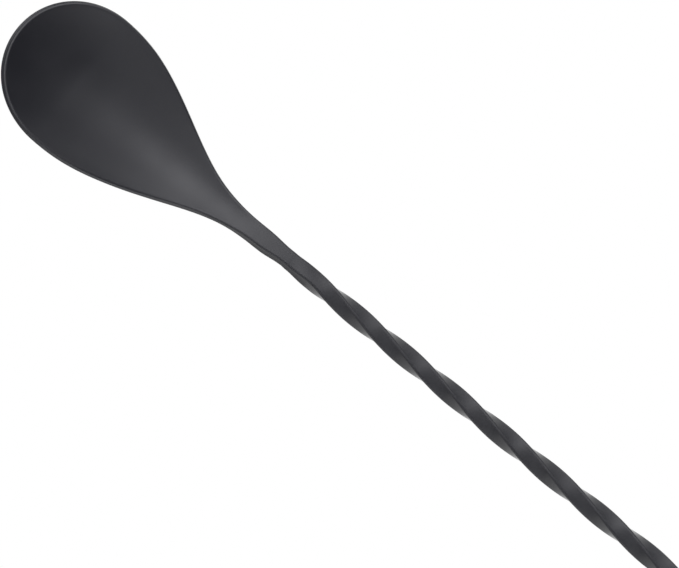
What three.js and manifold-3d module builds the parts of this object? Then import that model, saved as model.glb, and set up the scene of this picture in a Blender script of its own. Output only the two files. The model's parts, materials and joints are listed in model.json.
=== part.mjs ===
// A long bar spoon that lies on a table, bowl open upwards.
// Millimetres. +X runs from the bowl towards the counterweight, +Z is up.
// The origin is the bottom centre of the spoon's box, on the table.

import * as THREE from 'three';
import Module from 'manifold-3d';
import { mergeVertices } from 'three/addons/utils/BufferGeometryUtils.js';

// ---------- driving dimensions ----------

const OVERALL_LENGTH = 300;
const MATING_GAP = 0.3; // between pieces that meet

const HEAD_LENGTH = 64.0; // bowl and neck, from the rim's inner tip to the weld
const BOWL_WIDEST_AT = 14.6;
const BOWL_HALF_WIDTH = 14.05; // to the rim's inner edge
const TIP_FULLNESS = 2.04; // 2 makes the tip half an ellipse
const HOLLOW_ENDS_AT = 60; // the neck's upper face is flat from here
const WAIST_WIDTH = 3.04; // where the neck meets the weld
const WAIST_THICKNESS = 2.75;
const NECK_TOP = 1.53; // height of its upper face above the bar's axis, at the weld

const WELD_LENGTH = 0.8;
const WELD_CROWN = 0.02; // stands proud of the waist

const BAR_SIDE = 3.2;
const BAR_CORNER_RADIUS = 0.5;
const TWIST_PITCH = 46.2; // length of one full turn, right-handed
const STRAIGHT_END = 4.2; // untwisted stretch at each end of the bar
const TWIST_RUN_IN = 3.3; // the twist builds up over this length
const START_TURN = THREE.MathUtils.degToRad(-10); // the bar's turn against the neck
const TURN_LENGTH = 4.8; // the bar takes that turn over this length, from the weld

const WEIGHT_LENGTH = 34;
const WEIGHT_DIAMETER = 9.0;
const WEIGHT_MOUTH_DIAMETER = 4.8;
const WEIGHT_END_FACE_DIAMETER = 4.0;
const WEIGHT_FLANK_PULL = [0.45, 0.6]; // how far along the flank its curve holds to each end

const SPIGOT_DIAMETER = 2.6;
const SPIGOT_LENGTH = 9.0;
const SPIGOT_HOLE_DEPTH = 10.0;

// The head's shape, as [distance from the rim's inner tip, value] pairs on smooth curves.
// Half-width to the inner edge, behind the widest place.
const TAIL_HALF_WIDTH = [
  [BOWL_WIDEST_AT, BOWL_HALF_WIDTH],
  [22, 13.3],
  [28, 11.5],
  [34, 9.0],
  [40, 6.18],
  [46, 3.7],
  [51, 2.46],
  [56, 1.95],
  [60, 1.86],
  [HEAD_LENGTH, WAIST_WIDTH / 2],
];
// Height of the rim, then of the neck's upper face, above the bar's axis.
const RIM_HEIGHT = [
  [0, 6.04],
  [8, 5.76],
  [16, 4.87],
  [24, 3.49],
  [32, 1.52],
  [39, 0.13],
  [45, -0.08],
  [51, 0.5],
  [57, 1.3],
  [60.5, 1.47],
  [HEAD_LENGTH, NECK_TOP],
];
// Thickness of the metal, square to its upper face.
const METAL_THICKNESS = [
  [0, 1.04],
  [20, 1.02],
  [36, 1.02],
  [46, 1.15],
  [52, 1.22],
  [56, 2.0],
  [60, 2.8],
  [HEAD_LENGTH, WAIST_THICKNESS],
];
// Depth of the hollow below the rim.
const HOLLOW_DEPTH = [
  [0, 4.65],
  [10, 4.75],
  [20, 5.15],
  [30, 3.7],
  [40, 1.42],
  [50, 0.45],
  [HOLLOW_ENDS_AT, 0],
];

// ---------- fineness of the meshes ----------

const TIP_STATIONS = 14;
const TAIL_STATIONS = 28;
const CROSS_POINTS = 17; // points across the bowl, rim to rim
const BAR_STEPS_PER_TURN = 20;
const BAR_CORNER_SEGMENTS = 2;
const ROUND_SEGMENTS = 32;
const FLANK_SEGMENTS = 16;
const BALL_SEGMENTS = 9;

const COATING = { color: 0x2b2c2f, roughness: 0.42, metalness: 0.6 };

// ---------- smooth curves ----------

// Cubic spline through [x, value] pairs, level at both ends unless told to bend freely at the first.
function smoothCurve(pairs, freeStart = false) {
  const last = pairs.length - 1;
  const span = (i) => pairs[i + 1][0] - pairs[i][0];
  const slope = (i) => (pairs[i + 1][1] - pairs[i][1]) / span(i);
  // Each row is [left, centre, right, result] of the equations for the second derivatives.
  const rows = pairs.map((pair, i) => {
    if (i === 0) {
      return freeStart ? [0, 1, 0, 0] : [0, 2 * span(0), span(0), 6 * slope(0)];
    }
    if (i === last) {
      return [span(i - 1), 2 * span(i - 1), 0, -6 * slope(i - 1)];
    }
    return [span(i - 1), 2 * (span(i - 1) + span(i)), span(i), 6 * (slope(i) - slope(i - 1))];
  });
  for (let i = 1; i <= last; i += 1) {
    const factor = rows[i][0] / rows[i - 1][1];
    rows[i][1] -= factor * rows[i - 1][2];
    rows[i][3] -= factor * rows[i - 1][3];
  }
  const bend = new Array(last + 1).fill(0);
  for (let i = last; i >= 0; i -= 1) {
    bend[i] = (rows[i][3] - rows[i][2] * (bend[i + 1] ?? 0)) / rows[i][1];
  }
  return (x) => {
    const within = THREE.MathUtils.clamp(x, pairs[0][0], pairs[last][0]);
    const next = pairs.findIndex((pair) => pair[0] >= within);
    const i = Math.max(next - 1, 0);
    const h = span(i);
    const a = (pairs[i + 1][0] - within) / h;
    const b = 1 - a;
    return a * pairs[i][1] + b * pairs[i + 1][1]
      + ((a ** 3 - a) * bend[i] + (b ** 3 - b) * bend[i + 1]) * (h * h / 6);
  };
}

// ---------- meshes ----------

function coated(name, geometry) {
  geometry.computeVertexNormals();
  const mesh = new THREE.Mesh(geometry, new THREE.MeshStandardMaterial(COATING));
  mesh.name = name;
  return mesh;
}

// Joins equal points and drops the triangles that this leaves flat.
function closedGeometry(vertices, triangles) {
  const loose = new THREE.BufferGeometry();
  loose.setAttribute('position', new THREE.Float32BufferAttribute(vertices.flat(), 3));
  loose.setIndex(triangles.flat());
  const merged = mergeVertices(loose, 1e-3);
  const index = Array.from(merged.getIndex().array);
  const kept = [];
  for (let i = 0; i < index.length; i += 3) {
    const [a, b, c] = index.slice(i, i + 3);
    if (a !== b && b !== c && c !== a) {
      kept.push(a, b, c);
    }
  }
  merged.setIndex(kept);
  return merged;
}

function positionsOnly(geometry) {
  const copy = geometry.clone();
  copy.deleteAttribute('normal');
  copy.deleteAttribute('uv');
  return mergeVertices(copy, 1e-4);
}

function solidFrom(wasm, geometry) {
  const merged = positionsOnly(geometry);
  return new wasm.Manifold(new wasm.Mesh({
    numProp: 3,
    vertProperties: new Float32Array(merged.getAttribute('position').array),
    triVerts: new Uint32Array(merged.getIndex().array),
  }));
}

function geometryFromSolid(solid) {
  const mesh = solid.getMesh();
  const geometry = new THREE.BufferGeometry();
  geometry.setAttribute('position', new THREE.BufferAttribute(mesh.vertProperties, 3));
  geometry.setIndex(new THREE.BufferAttribute(mesh.triVerts, 1));
  return geometry;
}

// ---------- spoon head: bowl and neck ----------

const tailHalfWidth = smoothCurve(TAIL_HALF_WIDTH);
const rimHeight = smoothCurve(RIM_HEIGHT, true);
const metalThickness = smoothCurve(METAL_THICKNESS);
const hollowDepth = smoothCurve(HOLLOW_DEPTH);

// How far x is ahead of the widest place: 0 there and behind it, 1 at the tip.
function towardsTip(x) {
  return THREE.MathUtils.clamp(1 - x / BOWL_WIDEST_AT, 0, 1);
}

function headHalfWidth(x) {
  if (x >= BOWL_WIDEST_AT) {
    return tailHalfWidth(x);
  }
  return BOWL_HALF_WIDTH * (1 - towardsTip(x) ** TIP_FULLNESS) ** (1 / TIP_FULLNESS);
}

// The upper face: the rim's height less the hollow, a parabola from rim to rim.
function upperFaceHeight(x, y) {
  const across = y / Math.max(headHalfWidth(x), 1e-9);
  const depth = hollowDepth(x) * (1 - towardsTip(x) ** 2);
  return rimHeight(x) - depth * (1 - across ** 2);
}

// Unit vector square to the upper face, pointing down through the metal.
function throughMetal(x, y) {
  const step = 0.01;
  const inX = THREE.MathUtils.clamp(x, 3 * step, HEAD_LENGTH - step);
  const inY = y * (1 - 2 * step);
  const alongX = upperFaceHeight(inX + step, inY) - upperFaceHeight(inX - step, inY);
  const alongY = upperFaceHeight(inX, inY + step) - upperFaceHeight(inX, inY - step);
  return new THREE.Vector3(alongX, alongY, -2 * step).normalize();
}

// Stations along the head, close together at the round tip.
function headStations() {
  const stations = [];
  for (let i = 0; i < TIP_STATIONS; i += 1) {
    stations.push(BOWL_WIDEST_AT * (1 - Math.cos((i / TIP_STATIONS) * (Math.PI / 2))));
  }
  for (let i = 0; i <= TAIL_STATIONS; i += 1) {
    stations.push(BOWL_WIDEST_AT + ((HEAD_LENGTH - BOWL_WIDEST_AT) * i) / TAIL_STATIONS);
  }
  return stations;
}

// A row of points across each station on the upper face, and the same row through the metal.
function headFaces(stations) {
  const upper = [];
  const lower = [];
  const straightDown = new THREE.Vector3(0, 0, -1);
  stations.forEach((x) => {
    for (let j = 0; j < CROSS_POINTS; j += 1) {
      const y = headHalfWidth(x) * ((2 * j) / (CROSS_POINTS - 1) - 1);
      const point = new THREE.Vector3(x, y, upperFaceHeight(x, y));
      upper.push(point.toArray());
      const through = x === HEAD_LENGTH ? straightDown : throughMetal(x, y);
      lower.push(point.addScaledVector(through, metalThickness(x)).toArray());
    }
  });
  return [upper, lower];
}

function spoonHead() {
  const [upper, lower] = headFaces(headStations());
  const under = upper.length;
  const lastRow = under - CROSS_POINTS;
  const edge = CROSS_POINTS - 1;
  const triangles = [];
  const quad = (a, b, c, d) => {
    triangles.push([a, b, c], [a, c, d]);
  };
  for (let row = 0; row < lastRow; row += CROSS_POINTS) {
    const next = row + CROSS_POINTS;
    for (let j = 0; j < edge; j += 1) {
      quad(row + j, next + j, next + j + 1, row + j + 1);
      quad(under + row + j, under + row + j + 1, under + next + j + 1, under + next + j);
    }
    quad(row, under + row, under + next, next);
    quad(row + edge, next + edge, under + next + edge, under + row + edge);
  }
  for (let j = 0; j < edge; j += 1) {
    quad(lastRow + j, under + lastRow + j, under + lastRow + j + 1, lastRow + j + 1);
  }
  return closedGeometry(upper.concat(lower), triangles);
}

// ---------- weld and twisted bar ----------

function roundedRectangle(width, height, radius) {
  const shape = new THREE.Shape();
  const y = width / 2 - radius;
  const z = height / 2 - radius;
  const quarter = Math.PI / 2;
  shape.absarc(y, -z, radius, -quarter, 0, false);
  shape.absarc(y, z, radius, 0, quarter, false);
  shape.absarc(-y, z, radius, quarter, 2 * quarter, false);
  shape.absarc(-y, -z, radius, 2 * quarter, 3 * quarter, false);
  return shape;
}

// A prism along +X from x = 0. The section's own axes become Y and Z.
function prismAlongX(section, length, steps) {
  const geometry = new THREE.ExtrudeGeometry(section, {
    depth: length, steps, curveSegments: BAR_CORNER_SEGMENTS, bevelEnabled: false,
  });
  geometry.applyMatrix4(new THREE.Matrix4().makeBasis(
    new THREE.Vector3(0, 1, 0), new THREE.Vector3(0, 0, 1), new THREE.Vector3(1, 0, 0),
  ));
  return positionsOnly(geometry);
}

function neckWeld() {
  const width = WAIST_WIDTH + 2 * WELD_CROWN;
  const thickness = WAIST_THICKNESS + 2 * WELD_CROWN;
  const slab = prismAlongX(roundedRectangle(width, thickness, BAR_CORNER_RADIUS), WELD_LENGTH, 1);
  return slab.translate(0, 0, NECK_TOP - WAIST_THICKNESS / 2);
}

// Length of full twist that is equal to a run of this length through the run-in.
function twistedLength(run) {
  const inRunIn = THREE.MathUtils.clamp(run, 0, TWIST_RUN_IN);
  return inRunIn ** 2 / (2 * TWIST_RUN_IN) + Math.max(run - TWIST_RUN_IN, 0);
}

// Angle of the bar's section, in radians, at x from the bar's front end.
function twistAngle(x, barLength) {
  const runOutStart = barLength - STRAIGHT_END - TWIST_RUN_IN;
  const turned = twistedLength(x - STRAIGHT_END) - twistedLength(x - runOutStart);
  const startTurn = START_TURN * THREE.MathUtils.smoothstep(x, 0, TURN_LENGTH);
  return startTurn + (turned / TWIST_PITCH) * 2 * Math.PI;
}

function twistedBar(wasm, barLength) {
  const steps = Math.round((barLength / TWIST_PITCH) * BAR_STEPS_PER_TURN);
  const section = roundedRectangle(BAR_SIDE, BAR_SIDE, BAR_CORNER_RADIUS);
  const bar = prismAlongX(section, barLength, steps);
  const position = bar.getAttribute('position');
  const alongBar = new THREE.Vector3(1, 0, 0);
  const point = new THREE.Vector3();
  for (let i = 0; i < position.count; i += 1) {
    point.fromBufferAttribute(position, i);
    point.applyAxisAngle(alongBar, twistAngle(point.x, barLength));
    position.setXYZ(i, point.x, point.y, point.z);
  }
  const rooted = SPIGOT_LENGTH + BAR_SIDE;
  const radius = SPIGOT_DIAMETER / 2;
  const spigot = new THREE.CylinderGeometry(radius, radius, rooted, ROUND_SEGMENTS);
  spigot.rotateZ(-Math.PI / 2);
  spigot.translate(barLength + SPIGOT_LENGTH - rooted / 2, 0, 0);
  return geometryFromSolid(solidFrom(wasm, bar).add(solidFrom(wasm, spigot)));
}

// ---------- counterweight ----------

// Half of the teardrop's outline, as [radius, distance from its mouth] points.
function teardropProfile() {
  const ball = WEIGHT_DIAMETER / 2;
  const mouth = WEIGHT_MOUTH_DIAMETER / 2;
  const endFaceAngle = Math.asin(WEIGHT_END_FACE_DIAMETER / WEIGHT_DIAMETER);
  const ballCentre = WEIGHT_LENGTH - ball * Math.cos(endFaceAngle);
  const flank = new THREE.CubicBezierCurve(
    new THREE.Vector2(mouth, 0),
    new THREE.Vector2(mouth, ballCentre * WEIGHT_FLANK_PULL[0]),
    new THREE.Vector2(ball, ballCentre * WEIGHT_FLANK_PULL[1]),
    new THREE.Vector2(ball, ballCentre),
  );
  const profile = [new THREE.Vector2(0, 0), ...flank.getPoints(FLANK_SEGMENTS)];
  for (let i = 1; i <= BALL_SEGMENTS; i += 1) {
    const angle = THREE.MathUtils.lerp(Math.PI / 2, endFaceAngle, i / BALL_SEGMENTS);
    const along = ballCentre + ball * Math.cos(angle);
    profile.push(new THREE.Vector2(ball * Math.sin(angle), along));
  }
  profile.push(new THREE.Vector2(0, WEIGHT_LENGTH));
  return profile;
}

function counterweight(wasm) {
  const body = new THREE.LatheGeometry(teardropProfile(), ROUND_SEGMENTS);
  const holeRadius = SPIGOT_DIAMETER / 2 + MATING_GAP;
  const drilledThrough = 2 * SPIGOT_HOLE_DEPTH; // half of it is outside the mouth
  const hole = new THREE.CylinderGeometry(holeRadius, holeRadius, drilledThrough, ROUND_SEGMENTS);
  const drilled = solidFrom(wasm, body).subtract(solidFrom(wasm, hole));
  const geometry = geometryFromSolid(drilled);
  geometry.rotateZ(-Math.PI / 2);
  return geometry;
}

// ---------- assembly ----------

// Tips the spoon about Y until the bowl and the counterweight both touch the table.
function layOnTable(spoon, head, weight) {
  const passes = 4;
  for (let i = 0; i < passes; i += 1) {
    spoon.updateMatrixWorld(true);
    const front = new THREE.Box3().setFromObject(head, true);
    const back = new THREE.Box3().setFromObject(weight, true);
    const apart = (back.min.x + back.max.x - front.min.x - front.max.x) / 2;
    spoon.rotation.y += Math.atan2(back.min.z - front.min.z, apart);
  }
  spoon.updateMatrixWorld(true);
  const box = new THREE.Box3().setFromObject(spoon, true);
  spoon.position.set(-(box.min.x + box.max.x) / 2, 0, -box.min.z);
}

async function buildSpoon() {
  const wasm = await Module();
  wasm.setup();

  const spoon = new THREE.Group();
  const head = coated('spoon_bowl', spoonHead());
  const tip = new THREE.Box3().setFromObject(head).min.x;
  spoon.add(head);

  const weld = coated('neck_weld', neckWeld());
  weld.position.x = HEAD_LENGTH + MATING_GAP;
  spoon.add(weld);

  const weightStart = tip + OVERALL_LENGTH - WEIGHT_LENGTH;
  const barStart = weld.position.x + WELD_LENGTH + MATING_GAP;
  const bar = coated('twisted_shaft', twistedBar(wasm, weightStart - MATING_GAP - barStart));
  bar.position.x = barStart;
  spoon.add(bar);

  const weight = coated('counterweight', counterweight(wasm));
  weight.position.x = weightStart;
  spoon.add(weight);

  layOnTable(spoon, head, weight);
  return spoon;
}

export default await buildSpoon();
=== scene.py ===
"""Bar spoon: its looks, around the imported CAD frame.

Shapes are in mm on the spoon's own axes. The scene is in metres, in the row's frame.
"""

import json
import math

import bmesh
import bpy
import numpy as np
from mathutils import Matrix, Vector


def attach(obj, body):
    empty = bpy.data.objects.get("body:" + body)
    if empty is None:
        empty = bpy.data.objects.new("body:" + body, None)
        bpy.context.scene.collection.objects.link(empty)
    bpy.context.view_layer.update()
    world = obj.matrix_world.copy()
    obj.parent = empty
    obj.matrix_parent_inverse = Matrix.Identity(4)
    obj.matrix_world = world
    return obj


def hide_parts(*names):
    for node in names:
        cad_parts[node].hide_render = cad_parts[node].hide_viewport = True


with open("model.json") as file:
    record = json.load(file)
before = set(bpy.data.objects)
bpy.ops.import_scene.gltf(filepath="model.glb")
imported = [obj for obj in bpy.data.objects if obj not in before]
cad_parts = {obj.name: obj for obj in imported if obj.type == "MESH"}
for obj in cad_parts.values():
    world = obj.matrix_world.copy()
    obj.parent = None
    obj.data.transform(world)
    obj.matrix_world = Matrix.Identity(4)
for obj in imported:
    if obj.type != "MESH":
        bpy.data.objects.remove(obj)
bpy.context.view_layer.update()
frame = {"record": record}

MM = 0.001

# ---------- dimensions, in mm, as in the CAD model ----------

OVERALL_LENGTH = 300.0
TIP_OVERHANG = 0.569  # the rim's outer tip lies this far ahead of its inner tip

HEAD_LENGTH = 64.0
BOWL_WIDEST_AT = 14.6
BOWL_HALF_WIDTH = 14.05
TIP_FULLNESS = 2.04
HOLLOW_ENDS_AT = 60.0
WAIST_WIDTH = 3.04
WAIST_THICKNESS = 2.75
NECK_TOP = 1.53  # height of its upper face above the bar's axis, at the weld
WELD_LENGTH = 1.4  # the two mating gaps belong to the weld here
WELD_CROWN = 0.008

BAR_SIDE = 3.2
BAR_CORNER_RADIUS = 0.5
TWIST_PITCH = 46.2
STRAIGHT_END = 4.2
TWIST_RUN_IN = 3.3
START_TURN = math.radians(-10)  # the bar's turn against the neck, once clear of the weld
TURN_LENGTH = 4.8  # the bar takes that turn over this length

WEIGHT_LENGTH = 34.0
WEIGHT_DIAMETER = 9.0
WEIGHT_MOUTH_DIAMETER = 4.8
WEIGHT_END_FACE_DIAMETER = 4.0

TAIL_HALF_WIDTH = [
    (BOWL_WIDEST_AT, BOWL_HALF_WIDTH), (22, 13.3), (28, 11.5), (34, 9.0), (40, 6.18),
    (46, 3.7), (51, 2.46), (56, 1.95), (60, 1.86), (HEAD_LENGTH, WAIST_WIDTH / 2),
]
RIM_HEIGHT = [
    (0, 6.04), (8, 5.76), (16, 4.87), (24, 3.49), (32, 1.52), (39, 0.13), (45, -0.08),
    (51, 0.5), (57, 1.3), (60.5, 1.47), (HEAD_LENGTH, NECK_TOP),
]
METAL_THICKNESS = [
    (0, 1.04), (20, 1.02), (36, 1.02), (46, 1.15), (52, 1.22), (56, 2.0), (60, 2.8),
    (HEAD_LENGTH, WAIST_THICKNESS),
]
HOLLOW_DEPTH = [
    (0, 4.65), (10, 4.75), (20, 5.15), (30, 3.7), (40, 1.42), (50, 0.45), (HOLLOW_ENDS_AT, 0),
]


# ---------- the spoon's own axes ----------

def spoon_axes():
    """Matrix from the spoon's own millimetres to the frame: x along the bar, from the inner tip."""
    mount = next(m for m in frame["record"]["mounts"] if m["name"] == "end_face")
    along = Vector(mount["axis"]).normalized()
    up = along.cross(Vector((0, 1, 0))).normalized()
    side = up.cross(along)
    turn = Matrix((along, side, up)).transposed().to_4x4()
    start = Vector(mount["pos_m"]) - along * (OVERALL_LENGTH - TIP_OVERHANG) * MM
    return Matrix.Translation(start) @ turn @ Matrix.Scale(MM, 4)


SPOON = spoon_axes()
WEIGHT_START = OVERALL_LENGTH - TIP_OVERHANG - WEIGHT_LENGTH
BAR_START = HEAD_LENGTH + WELD_LENGTH


# ---------- curves ----------

def smooth_curve(pairs, free_start=False):
    """Cubic spline through (x, value) pairs, level at its ends unless the first may bend freely."""
    x, value = np.array(pairs, float).T
    span, last = np.diff(x), len(x) - 1
    slope = np.diff(value) / span
    rows, right = np.zeros((last + 1, last + 1)), np.zeros(last + 1)
    rows[0, :2], right[0] = ((1, 0), 0) if free_start else ((2 * span[0], span[0]), 6 * slope[0])
    rows[last, last - 1:], right[last] = (span[-1], 2 * span[-1]), -6 * slope[-1]
    for i in range(1, last):
        rows[i, i - 1:i + 2] = span[i - 1], 2 * (span[i - 1] + span[i]), span[i]
        right[i] = 6 * (slope[i] - slope[i - 1])
    bend = np.linalg.solve(rows, right)

    def at(where):
        where = np.clip(where, x[0], x[-1])
        i = np.clip(np.searchsorted(x, where) - 1, 0, last - 1)
        a = (x[i + 1] - where) / span[i]
        b = 1 - a
        cubic = (a**3 - a) * bend[i] + (b**3 - b) * bend[i + 1]
        return a * value[i] + b * value[i + 1] + cubic * span[i] ** 2 / 6

    return at


LEAST_WIDTH = 1e-9  # mm, so that nothing is divided by the tip's width, which is zero
SLOPE_STEP = 0.01  # mm to each side of the place whose slope is taken

tail_half_width = smooth_curve(TAIL_HALF_WIDTH)
rim_height = smooth_curve(RIM_HEIGHT, True)
metal_thickness = smooth_curve(METAL_THICKNESS)
hollow_depth = smooth_curve(HOLLOW_DEPTH)


def towards_tip(x):
    return np.clip(1 - x / BOWL_WIDEST_AT, 0, 1)


def head_half_width(x):
    round_tip = BOWL_HALF_WIDTH * (1 - towards_tip(x) ** TIP_FULLNESS) ** (1 / TIP_FULLNESS)
    return np.where(x < BOWL_WIDEST_AT, round_tip, tail_half_width(x))


def upper_face_height(x, y):
    across = y / np.maximum(head_half_width(x), LEAST_WIDTH)
    depth = hollow_depth(x) * (1 - towards_tip(x) ** 2)
    return rim_height(x) - depth * (1 - across**2)


def unit(vectors):
    return vectors / np.linalg.norm(vectors, axis=-1, keepdims=True)


def out_of_metal(x, y):
    """Unit vectors square to the upper face, pointing up, taken just inside its tip and rim."""
    step = SLOPE_STEP
    x = np.clip(x, 3 * step, HEAD_LENGTH - step)
    y = y * (1 - 2 * step)
    along_x = upper_face_height(x + step, y) - upper_face_height(x - step, y)
    along_y = upper_face_height(x, y + step) - upper_face_height(x, y - step)
    return unit(np.stack([-along_x, -along_y, np.full_like(along_x, 2 * step)], -1))


# ---------- mesh helpers ----------

SHARP_ANGLE = math.radians(50)
MERGE_DISTANCE = 2e-7  # metres, joins the points that two rows share
SIDE_STEP = 0.11  # mm that the spoon stands to one side at the weld
STEP_LENGTH = 7.0  # and it comes back to the middle over this length, both ways


def ease(x):
    x = min(max(x, 0.0), 1.0)
    return x * x * (3 - 2 * x)


def in_frame(point):
    x, y, z = point
    aside = SIDE_STEP * ease(1 - abs(x - BAR_START) / STEP_LENGTH)
    return SPOON @ Vector((x, y + aside, z))


def piece_from(name, points, faces, node, material):
    """A piece in the spoon's millimetres, put in the frame, in place of a CAD node."""
    mesh = bpy.data.meshes.new(name)
    mesh.from_pydata([in_frame(p) for p in points], [], faces)
    bm = bmesh.new()
    bm.from_mesh(mesh)
    bmesh.ops.remove_doubles(bm, verts=bm.verts, dist=MERGE_DISTANCE)
    bmesh.ops.recalc_face_normals(bm, faces=bm.faces)
    bm.to_mesh(mesh)
    bm.free()
    mesh.shade_smooth()
    mesh.set_sharp_from_angle(angle=SHARP_ANGLE)
    piece = bpy.data.objects.new(name, mesh)
    bpy.context.scene.collection.objects.link(piece)
    mesh.materials.append(material)
    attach(piece, "root")
    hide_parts(node)
    return piece


def ring_faces(rings, size, closed_ends=True):
    """Quads between rings of equal size, that lie one after another in the points."""
    faces = []
    for r in range(rings - 1):
        for k in range(size):
            n = (k + 1) % size
            faces.append((r * size + k, r * size + n, (r + 1) * size + n, (r + 1) * size + k))
    if closed_ends:
        faces.append(tuple(range(size)))
        faces.append(tuple(range((rings - 1) * size, rings * size)))
    return faces


# ---------- spoon head ----------

UPPER_ARRIS = 0.42  # radius of the rim's upper edge
LOWER_ARRIS = 0.3
ARRIS_STEPS = 6
TIP_LEAN = 0.06  # mm that the wall's foot stands out further at the tip
TIP_DRAWN_IN = 0.14  # mm that its top is drawn in there
WALL_STEPS = 3
TIP_STEPS = 90
TAIL_STEPS = 190
INWARD_STEPS = 44


def rim_line():
    """Stations along the rim, from the weld on the +Y side round the tip to the weld on the -Y side."""
    turn = np.linspace(0, math.pi / 2, TIP_STEPS + 1)
    tip = BOWL_WIDEST_AT * (1 - np.cos(turn))
    tail = np.linspace(BOWL_WIDEST_AT, HEAD_LENGTH, TAIL_STEPS + 1)[1:]
    x = np.concatenate([tip, tail])
    x = np.concatenate([x[:0:-1], x])
    side = np.concatenate([np.ones(len(tip) + len(tail) - 1), -np.ones(len(tip) + len(tail))])
    y = side * head_half_width(x)
    return x, y


def build_head(material):
    """Rows from the middle of the upper face out over the rim and back under to the middle."""
    x, y = rim_line()
    edge = np.stack([x, y, rim_height(x)], -1)
    up = out_of_metal(x, y)
    up[[0, -1]] = up[[1, -2]]
    tangent = unit(np.gradient(edge, axis=0))
    out = unit(np.cross(tangent, up))
    thick = metal_thickness(x)[:, None]
    middle = np.stack([np.maximum(x, BOWL_WIDEST_AT), np.zeros_like(x)], -1)
    share = np.linspace(0, 1, INWARD_STEPS + 1)

    at_tip = (towards_tip(x) ** 2)[:, None]
    foot = edge - up * thick + out * at_tip * TIP_LEAN
    edge = edge - out * at_tip * TIP_DRAWN_IN

    def face(inset):
        """Rows of plan points from the middle out to the inset edge."""
        end = (edge - out * inset)[:, :2]
        return [middle + (end - middle) * f for f in share]

    rows = []
    for plan in face(UPPER_ARRIS):
        height = upper_face_height(plan[:, 0], plan[:, 1])
        rows.append(np.column_stack([plan, height]))
    turns = np.linspace(0, math.pi / 2, ARRIS_STEPS + 1)
    for a in turns[1:]:
        rows.append(edge + UPPER_ARRIS * (out * (math.sin(a) - 1) + up * (math.cos(a) - 1)))
    wall_top, wall_foot = edge - up * UPPER_ARRIS, foot + up * LOWER_ARRIS
    for f in np.linspace(0, 1, WALL_STEPS + 2)[1:-1]:
        rows.append(wall_top + (wall_foot - wall_top) * f)
    for a in turns:
        rows.append(foot + LOWER_ARRIS * (out * (math.cos(a) - 1) + up * (1 - math.sin(a))))
    for plan in face(LOWER_ARRIS)[-2::-1]:
        height = upper_face_height(plan[:, 0], plan[:, 1])
        top = np.column_stack([plan, height])
        through = metal_thickness(plan[:, 0])[:, None] * out_of_metal(plan[:, 0], plan[:, 1])
        rows.append(top - through)
    points = np.concatenate(rows)
    count = len(x)
    faces = []
    for r in range(len(rows) - 1):
        for k in range(count - 1):
            a = r * count + k
            faces.append((a, a + 1, a + 1 + count, a + count))
    first = [r * count for r in range(len(rows))]
    last = [r * count + count - 1 for r in range(len(rows))]
    faces.append(tuple(first + last[::-1]))
    return piece_from("bowl_and_neck", points, faces, "spoon_bowl", material)


# ---------- weld, bar and weight ----------

CORNER_STEPS = 8
BAR_STEPS = 640
WELD_STEPS = 16
FLARE_LENGTH = 3.0  # the bar reaches its full section this far behind the weld
FLARE_SHRINK = 0.14  # its side is this much smaller at the weld
JOINT_OVERLAP = 0.4  # the bar runs this far into the weight's mouth
WEIGHT_SIDES = 96
NECK_STEPS = 60  # along the weight's flaring neck
BALL_STEPS = 24
MOUTH_PULL = 0.45  # places of the neck curve's two handles, as shares of its length
BALL_PULL = 0.6


def rounded_section(width, top, bottom, radius):
    """Points round a rectangle with rounded corners, in y and z."""
    reach = width / 2 - radius
    low, high = bottom + radius, top - radius
    points = []
    for corner, (y, z) in enumerate([(reach, low), (reach, high), (-reach, high), (-reach, low)]):
        for k in range(CORNER_STEPS + 1):
            angle = (corner - 1 + k / CORNER_STEPS) * math.pi / 2
            points.append((y + radius * math.cos(angle), z + radius * math.sin(angle)))
    return np.array(points)


def turned(section, angle):
    c, s = math.cos(angle), math.sin(angle)
    return section @ np.array([[c, s], [-s, c]])


def at_station(section, x):
    return np.column_stack([np.full(len(section), x), section])


def twisted_length(run):
    in_run_in = min(max(run, 0.0), TWIST_RUN_IN)
    return in_run_in**2 / (2 * TWIST_RUN_IN) + max(run - TWIST_RUN_IN, 0.0)


def twist_angle(x):
    length = WEIGHT_START - BAR_START
    run_out = length - STRAIGHT_END - TWIST_RUN_IN
    turns = twisted_length(x - STRAIGHT_END) - twisted_length(x - run_out)
    return START_TURN * ease(x / TURN_LENGTH) + turns / TWIST_PITCH * 2 * math.pi


def bar_section(x):
    flare = 1 - ease(x / FLARE_LENGTH)
    side = BAR_SIDE - FLARE_SHRINK * flare
    return turned(rounded_section(side, side / 2, -side / 2, BAR_CORNER_RADIUS), twist_angle(x))


def build_bar(material):
    length = WEIGHT_START - BAR_START
    stations = np.linspace(0, length, BAR_STEPS + 1)
    rows = [at_station(bar_section(x), BAR_START + x) for x in stations]
    rows.append(at_station(bar_section(length), BAR_START + length + JOINT_OVERLAP))
    faces = ring_faces(len(rows), len(rows[0]))
    return piece_from("twisted_bar", np.concatenate(rows), faces, "twisted_shaft", material)


def build_weld(material):
    """Blends the neck's end section into the bar's first one, with a low bead."""
    neck = rounded_section(WAIST_WIDTH, NECK_TOP, NECK_TOP - WAIST_THICKNESS, UPPER_ARRIS)
    bar = bar_section(0)
    rows = []
    for i in range(WELD_STEPS + 1):
        share = i / WELD_STEPS
        section = neck + (bar - neck) * ease(share)
        bead = WELD_CROWN * math.sin(math.pi * share) ** 2
        section = section + unit(section) * bead
        rows.append(at_station(section, HEAD_LENGTH + WELD_LENGTH * share))
    faces = ring_faces(len(rows), len(rows[0]))
    return piece_from("weld_bead", np.concatenate(rows), faces, "neck_weld", material)


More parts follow.
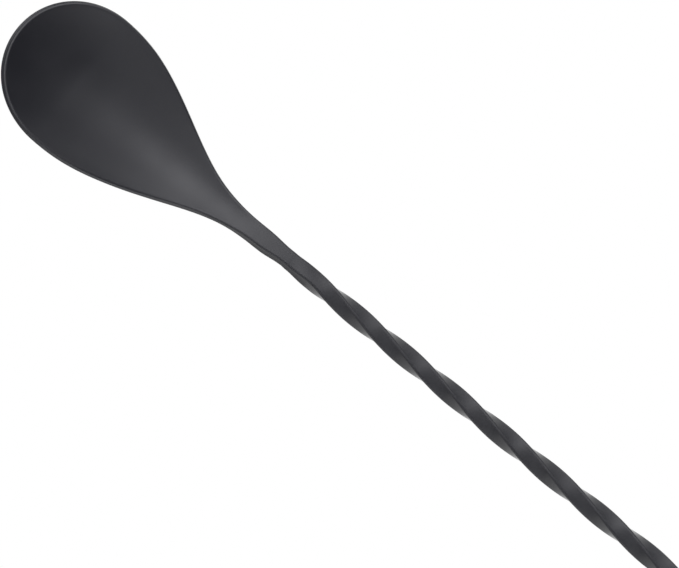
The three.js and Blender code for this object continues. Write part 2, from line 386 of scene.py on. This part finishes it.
def build_weight(material):
    """A teardrop: a flaring neck from the mouth, then part of a ball up to the flat end face."""
    ball = WEIGHT_DIAMETER / 2
    mouth = WEIGHT_MOUTH_DIAMETER / 2
    end_angle = math.asin(WEIGHT_END_FACE_DIAMETER / WEIGHT_DIAMETER)
    centre = WEIGHT_LENGTH - ball * math.cos(end_angle)
    profile = [(0.0, 0.0)]
    for i in range(NECK_STEPS + 1):
        t = i / NECK_STEPS
        a, b, c, d = (1 - t) ** 3, 3 * t * (1 - t) ** 2, 3 * t * t * (1 - t), t**3
        along = centre * (b * MOUTH_PULL + c * BALL_PULL + d)
        profile.append((mouth * (a + b) + ball * (c + d), along))
    for i in range(1, BALL_STEPS + 1):
        angle = math.pi / 2 + (end_angle - math.pi / 2) * i / BALL_STEPS
        profile.append((ball * math.sin(angle), centre + ball * math.cos(angle)))
    profile.append((0.0, WEIGHT_LENGTH))
    points = []
    for radius, along in profile:
        for k in range(WEIGHT_SIDES):
            angle = 2 * math.pi * k / WEIGHT_SIDES
            points.append((WEIGHT_START + along, radius * math.cos(angle), radius * math.sin(angle)))
    faces = ring_faces(len(profile), WEIGHT_SIDES, False)
    return piece_from("end_weight", points, faces, "counterweight", material)


# ---------- material ----------

COATING_COLOUR = (0.0120, 0.0122, 0.0156)
MOTTLE_COLOUR = (0.020, 0.0203, 0.0235)
MOST_MOTTLE = 0.5  # share of that colour in the lightest grains
MOTTLED_GRAINS = (0.45, 0.75)  # noise values where the mottling begins and is full
ROUGHNESS = 0.43
ROUGHNESS_SWING = 0.04
GLANCING_ROUGHNESS = 0.4  # share of that roughness that is left at a glancing angle
GRAIN_SIZE = 0.16  # mm between the coating's fine grains
GRAIN_DEPTH = 0.0022  # mm
RIPPLE_SIZE = 1.6  # mm, the slow unevenness of the sprayed coating
RIPPLE_DEPTH = 0.004  # mm
PATCH_SIZE = 7.0  # mm, the slow change of gloss
PATCH_NOISE = (0.3, 0.7)  # noise values in its smoothest and its roughest patches
GLANCE = (0.6, 1.0)  # the glancing roughness comes in from the first to the second, seen edge-on at 1


def coating():
    """Satin black powder coating: fine grain, slow ripple, patchy gloss and faint mottling."""
    material = bpy.data.materials.new("satin_black_coating")
    material.use_nodes = True
    tree = material.node_tree
    shader = tree.nodes["Principled BSDF"]
    shader.inputs["Metallic"].default_value = 0.0
    shader.inputs["IOR"].default_value = 1.5
    place = tree.nodes.new("ShaderNodeTexCoord").outputs["Object"]

    def noise(size, detail):
        node = tree.nodes.new("ShaderNodeTexNoise")
        node.inputs["Scale"].default_value = 1 / (size * MM)
        node.inputs["Detail"].default_value = detail
        tree.links.new(place, node.inputs["Vector"])
        return node.outputs["Fac"]

    def spread(value, span, to_low, to_high):
        node = tree.nodes.new("ShaderNodeMapRange")
        limits = {"From Min": span[0], "From Max": span[1], "To Min": to_low, "To Max": to_high}
        for name, number in limits.items():
            node.inputs[name].default_value = number
        tree.links.new(value, node.inputs["Value"])
        return node.outputs["Result"]

    def bump(height, depth, under=None):
        node = tree.nodes.new("ShaderNodeBump")
        node.inputs["Strength"].default_value = 1.0
        node.inputs["Distance"].default_value = depth * MM
        tree.links.new(height, node.inputs["Height"])
        if under:
            tree.links.new(under, node.inputs["Normal"])
        return node.outputs["Normal"]

    patches = noise(PATCH_SIZE, 3)
    grain = noise(GRAIN_SIZE, 2)
    gloss = spread(patches, PATCH_NOISE, ROUGHNESS - ROUGHNESS_SWING, ROUGHNESS + ROUGHNESS_SWING)
    facing = tree.nodes.new("ShaderNodeLayerWeight")
    facing.inputs["Blend"].default_value = 0.5
    glance = spread(facing.outputs["Facing"], GLANCE, 1.0, GLANCING_ROUGHNESS)
    product = tree.nodes.new("ShaderNodeMath")
    product.operation = "MULTIPLY"
    tree.links.new(gloss, product.inputs[0])
    tree.links.new(glance, product.inputs[1])
    tree.links.new(product.outputs["Value"], shader.inputs["Roughness"])
    mottle = tree.nodes.new("ShaderNodeMix")
    mottle.data_type = "RGBA"
    mottle.inputs["A"].default_value = (*COATING_COLOUR, 1)
    mottle.inputs["B"].default_value = (*MOTTLE_COLOUR, 1)
    tree.links.new(spread(grain, MOTTLED_GRAINS, 0.0, MOST_MOTTLE), mottle.inputs["Factor"])
    tree.links.new(mottle.outputs["Result"], shader.inputs["Base Color"])
    ripple = bump(noise(RIPPLE_SIZE, 1), RIPPLE_DEPTH)
    tree.links.new(bump(grain, GRAIN_DEPTH, ripple), shader.inputs["Normal"])
    return material


# ---------- stage ----------

# in metres, unless a line says otherwise; each drop is a sheet's depth under the spoon's lowest point
FLOOR_DROP = 0.0002
SHADE_DROP = 0.00024
GLOW_DROP = 0.0003
BENCH_DROP = 0.0004
FLOOR_HALF = 4.0
GLOW_RADIUS = 0.1
GLOW_SPAN_X = (-0.09, 0.09)  # centres of its round ends
GLOW_END_STEPS = 32
BENCH_GLOW = 1.1  # strengths; under the neck the bench glow is dimmer, a painted shadow of the spoon in the narrow gap there
NECK_SHADE_GLOW = 0.3
NECK_SHADE_SPAN = (45, 70)  # mm along the spoon
NECK_SHADE_HALF = 0.004


def glowing(name, strength):
    material = bpy.data.materials.new(name)
    material.use_nodes = True
    shader = material.node_tree.nodes["Principled BSDF"]
    shader.inputs["Base Color"].default_value = (0, 0, 0, 1)
    shader.inputs["Specular IOR Level"].default_value = 0
    shader.inputs["Roughness"].default_value = 0.9
    shader.inputs["Emission Color"].default_value = (1, 1, 1, 1)
    shader.inputs["Emission Strength"].default_value = strength
    return material


def sheet_of(name, outline, height, material):
    mesh = bpy.data.meshes.new(name)
    mesh.from_pydata([(x, y, 0) for x, y in outline], [], [tuple(range(len(outline)))])
    sheet = bpy.data.objects.new(name, mesh)
    sheet.location.z = height
    bpy.context.scene.collection.objects.link(sheet)
    mesh.materials.append(material)
    return sheet


def rectangle(x_low, x_high, half_width):
    return [(x_low, -half_width), (x_high, -half_width), (x_high, half_width), (x_low, half_width)]


def rounded_strip():
    outline = []
    for centre, start in ((GLOW_SPAN_X[1], -math.pi / 2), (GLOW_SPAN_X[0], math.pi / 2)):
        for k in range(GLOW_END_STEPS + 1):
            angle = start + k * math.pi / GLOW_END_STEPS
            outline.append((centre + GLOW_RADIUS * math.cos(angle), GLOW_RADIUS * math.sin(angle)))
    return outline


def build_floor():
    """A white floor that only the camera sees, and the bench that the spoon mirrors: a dark one with
    a glow round the spoon, and a dimmer glowing strip under the neck that is a painted shadow."""
    square = rectangle(-FLOOR_HALF, FLOOR_HALF, FLOOR_HALF)
    floor = sheet_of("floor", square, -FLOOR_DROP, glowing("white_floor", 1.0))
    floor.visible_diffuse = floor.visible_glossy = floor.visible_shadow = False
    bench = sheet_of("bench", square, -BENCH_DROP, glowing("dark_bench", 0.0))
    glow = sheet_of("bench_glow", rounded_strip(), -GLOW_DROP, glowing("glow", BENCH_GLOW))
    # painted shadow: a dimmer glowing strip under the neck stands in for the shadow the spoon casts on
    # the bench
    start, end = ((SPOON @ Vector((x, 0, 0))).x for x in NECK_SHADE_SPAN)
    under_neck = rectangle(start, end, NECK_SHADE_HALF)
    shade = sheet_of("neck_shade", under_neck, -SHADE_DROP, glowing("shaded_glow", NECK_SHADE_GLOW))
    for sheet in (bench, glow, shade):
        sheet.visible_camera = False


# ---------- camera ----------

CAMERA_ROLL = math.radians(17)
CAMERA_TILT = math.radians(0.5)
BAR_FALL_IN_VIEW = math.radians(39.3016)  # the bar falls to the right at this angle
LENS = 1000.0  # mm, long, so that the view has hardly any perspective
SENSOR = 36.0  # mm
VIEW_WIDTH = 124.1  # mm, at the spoon
AIM = (74.65, 2.55)  # mm along the bar and to its upper side in the view
NEAR_AND_FAR = (0.01, 50)  # metres


def build_camera():
    """Looks down on the spoon, rolled round the bar, with the bar falling across the view."""
    cr, sr = math.cos(CAMERA_ROLL), math.sin(CAMERA_ROLL)
    ct, st = math.cos(CAMERA_TILT), math.sin(CAMERA_TILT)
    spoon_turn = SPOON.to_3x3().normalized()
    along = spoon_turn @ Vector((ct, -sr * st, cr * st))
    beside = spoon_turn @ Vector((0, cr, sr))
    back = along.cross(beside)
    c, s = math.cos(BAR_FALL_IN_VIEW), math.sin(BAR_FALL_IN_VIEW)
    right = along * c + beside * s
    up = beside * c - along * s
    aim = SPOON.translation + (along * AIM[0] + beside * AIM[1]) * MM
    distance = VIEW_WIDTH * LENS / SENSOR * MM
    data = bpy.data.cameras.new("camera")
    data.lens = LENS
    data.sensor_width = SENSOR
    data.clip_start, data.clip_end = NEAR_AND_FAR
    camera = bpy.data.objects.new("camera", data)
    turn = Matrix((right, up, back)).transposed().to_4x4()
    camera.matrix_world = Matrix.Translation(aim + back * distance) @ turn
    bpy.context.scene.collection.objects.link(camera)
    bpy.context.scene.camera = camera


# ---------- light ----------

# softboxes: elevation, azimuth and apparent size in degrees, then strength
SOFTBOXES = {
    "overhead_left": (60, 140, 50, 1.4),
    "low_strip": (10, 300, 40, 1.0),
    "side_fill": (28, 110, 35, 0.6),
    "back_left": (45, 235, 30, 0.5),
    "broad_left": (50, 160, 60, 0.45),
    "low_left": (20, 150, 30, 0.45),
    "low_front": (10, 345, 40, 0.4),
    "overhead_right": (60, 75, 45, 0.3),
    "top": (90, 0, 40, 0.25),
    "front_right": (35, 315, 40, 0.2),
    "rear_glow": (10, 90, 30, 0.15),
    "near_high": (60, 270, 35, 0.15),
    "near_fill": (30, 270, 30, 0.1),
}
SOFTBOX_COLOUR = (0.98, 0.98, 1.015)
ROOM_COLOUR = (0.01, 0.01, 0.012)


def build_lights():
    for name, (elevation, azimuth, size, strength) in SOFTBOXES.items():
        up, around = math.radians(elevation), math.radians(azimuth)
        level = math.cos(up)
        towards = Vector((math.cos(around) * level, math.sin(around) * level, math.sin(up)))
        lamp = bpy.data.lights.new(name, "SUN")
        lamp.angle = math.radians(size)
        lamp.energy = strength
        lamp.color = SOFTBOX_COLOUR
        light = bpy.data.objects.new(name, lamp)
        light.rotation_euler = towards.to_track_quat("Z", "Y").to_euler()
        bpy.context.scene.collection.objects.link(light)
    world = bpy.data.worlds.new("room")
    bpy.context.scene.world = world
    world.use_nodes = True
    tree = world.node_tree
    room = tree.nodes["Background"]
    room.inputs["Color"].default_value = (*ROOM_COLOUR, 1)
    backdrop = tree.nodes.new("ShaderNodeBackground")
    backdrop.inputs["Color"].default_value = (1, 1, 1, 1)
    pick = tree.nodes.new("ShaderNodeMixShader")
    tree.links.new(tree.nodes.new("ShaderNodeLightPath").outputs["Is Camera Ray"], pick.inputs["Fac"])
    tree.links.new(room.outputs[0], pick.inputs[1])
    tree.links.new(backdrop.outputs[0], pick.inputs[2])
    tree.links.new(pick.outputs[0], tree.nodes["World Output"].inputs["Surface"])


# ---------- the scene ----------

bpy.context.scene.view_settings.view_transform = "Standard"
black = coating()
build_head(black)
build_weld(black)
build_bar(black)
build_weight(black)
build_floor()
build_camera()
build_lights()
